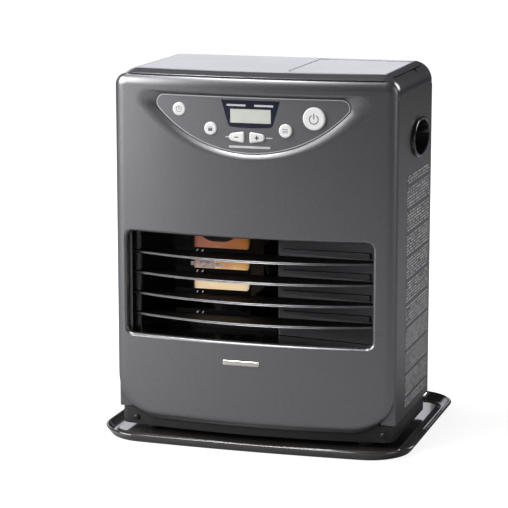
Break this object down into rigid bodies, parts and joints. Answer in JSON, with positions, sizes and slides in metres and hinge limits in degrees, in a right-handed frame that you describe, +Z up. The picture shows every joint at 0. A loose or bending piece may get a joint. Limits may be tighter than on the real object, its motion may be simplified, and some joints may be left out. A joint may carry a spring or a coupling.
{
  "type": "kerosene fan heater",
  "caption": "Portable kerosene fan heater: bowed front with a louvre and a control plate, hinged tank lid on top, lift-out tank and filter, drip tray.",
  "frame": {"origin": "middle of the drip tray's underside, on the floor", "axes": "+X to the heater's right as seen from in front, +Y towards its rear, +Z up; the louvre faces -Y"},
  "size_m": [0.371, 0.3, 0.43],
  "materials": {
    "tray_enamel": "gloss enamel",
    "black_paint": "satin",
    "rubber": "matt",
    "screw_black": "satin",
    "side_paint": "satin metallic",
    "grip_plastic": "semi-gloss",
    "cover_paint": "satin metallic",
    "panel_paint": "satin metallic",
    "badge_metal": "bright",
    "plate_plastic": "satin",
    "window_plastic": "gloss",
    "lcd_glass": "satin",
    "button_plastic": "satin",
    "blade_steel": "gloss",
    "guide_steel": "satin",
    "floor_enamel": "gloss",
    "shield_steel": "dull",
    "hot_steel": "heat tinted",
    "bare_steel": "plain",
    "ceramic": "matt",
    "sump_plastic": "moulded",
    "pump_steel": "cast",
    "brass": "drawn",
    "tank_steel": "galvanised",
    "handle_plastic": "moulded",
    "black_plastic": "moulded",
    "lid_paint": "satin metallic",
    "fan_aluminium": "pressed",
    "motor_steel": "plain",
    "filter_plastic": "moulded",
    "circuit_board": "satin"
  },
  "bodies": {
    "cabinet": {"drip_tray": "tray_enamel", "base_pan": "black_paint", "foot_front_left": "rubber", "foot_front_right": "rubber", "foot_rear_left": "rubber", "foot_rear_right": "rubber", "chassis_screw_left": "screw_black", "chassis_screw_right": "screw_black", "cabinet_left": "side_paint", "cabinet_right": "side_paint", "side_grip_left": "grip_plastic", "side_grip_right": "grip_plastic", "rear_panel": "side_paint", "top_cover": "cover_paint", "front_panel": "panel_paint", "front_badge": "badge_metal", "control_plate": "plate_plastic", "display_window": "window_plastic", "lcd_panel": "lcd_glass", "louver_blade_1": "blade_steel", "louver_blade_2": "blade_steel", "louver_blade_3": "blade_steel", "louver_blade_4": "blade_steel", "louver_bracket": "blade_steel", "air_guide": "guide_steel", "duct_floor": "floor_enamel", "heat_shield": "shield_steel", "combustion_chamber": "hot_steel", "burner_pot": "bare_steel", "flame_ring": "hot_steel", "igniter": "ceramic", "flame_sensor": "ceramic", "fuel_sump": "sump_plastic", "fuel_pump": "pump_steel", "fuel_pipe": "brass", "lid_hinge_pin_left": "bare_steel", "lid_hinge_pin_right": "bare_steel", "fan_motor": "motor_steel", "fan_bracket": "black_paint", "fan_guard": "black_plastic", "blower_housing": "bare_steel", "blower_motor": "motor_steel", "circuit_board": "circuit_board", "transformer": "black_paint", "tip_over_switch": "black_plastic", "room_sensor": "black_plastic", "cable_gland": "rubber"},
    "lid": {"tank_lid": "lid_paint"},
    "tank": {"fuel_tank": "tank_steel", "tank_handle": "handle_plastic"},
    "cap": {"tank_cap": "black_plastic"},
    "convection_fan": {"convection_fan": "fan_aluminium"},
    "blower_wheel": {"blower_impeller": "black_plastic"},
    "filter": {"air_filter": "filter_plastic"},
    "power_key": {"power_button": "button_plastic"},
    "timer_key": {"timer_button": "button_plastic"},
    "lock_key": {"lock_button": "button_plastic"},
    "mode_key": {"mode_button": "button_plastic"},
    "minus_key": {"minus_button": "button_plastic"},
    "plus_key": {"plus_button": "button_plastic"}
  },
  "joints": [
    {"name": "lid_hinge", "type": "hinge", "parent": "cabinet", "child": "lid", "pos_m": [0.09, 0.04, 0.4245], "axis": [-1, 0, 0], "range_deg": [0, 95]},
    {"name": "tank_lift", "type": "slide", "parent": "cabinet", "child": "tank", "axis": [0, 0, 1], "range_m": [0, 0.008]},
    {"name": "cap_turn", "type": "hinge", "parent": "tank", "child": "cap", "pos_m": [0.088, -0.0115, 0.078], "axis": [0, 0, 1], "range_deg": [0, 90]},
    {"name": "convection_fan_spin", "type": "hinge", "parent": "cabinet", "child": "convection_fan", "pos_m": [-0.045, 0.072, 0.225], "axis": [0, 1, 0], "continuous": true},
    {"name": "blower_spin", "type": "hinge", "parent": "cabinet", "child": "blower_wheel", "pos_m": [-0.118, -0.048, 0.066], "axis": [0, 1, 0], "continuous": true},
    {"name": "filter_lift", "type": "slide", "parent": "cabinet", "child": "filter", "axis": [0, 0, 1], "range_m": [0, 0.165]},
    {"name": "power_press", "type": "slide", "parent": "cabinet", "child": "power_key", "axis": [0, 1, 0], "range_m": [0, 0.0012], "stiffness_N_per_m": 400},
    {"name": "timer_press", "type": "slide", "parent": "cabinet", "child": "timer_key", "axis": [0, 1, 0], "range_m": [0, 0.0012], "stiffness_N_per_m": 400},
    {"name": "lock_press", "type": "slide", "parent": "cabinet", "child": "lock_key", "axis": [0, 1, 0], "range_m": [0, 0.0012], "stiffness_N_per_m": 400},
    {"name": "mode_press", "type": "slide", "parent": "cabinet", "child": "mode_key", "axis": [0, 1, 0], "range_m": [0, 0.0012], "stiffness_N_per_m": 400},
    {"name": "minus_press", "type": "slide", "parent": "cabinet", "child": "minus_key", "axis": [0, 1, 0], "range_m": [0, 0.0012], "stiffness_N_per_m": 400},
    {"name": "plus_press", "type": "slide", "parent": "cabinet", "child": "plus_key", "axis": [0, 1, 0], "range_m": [0, 0.0012], "stiffness_N_per_m": 400}
  ]
}
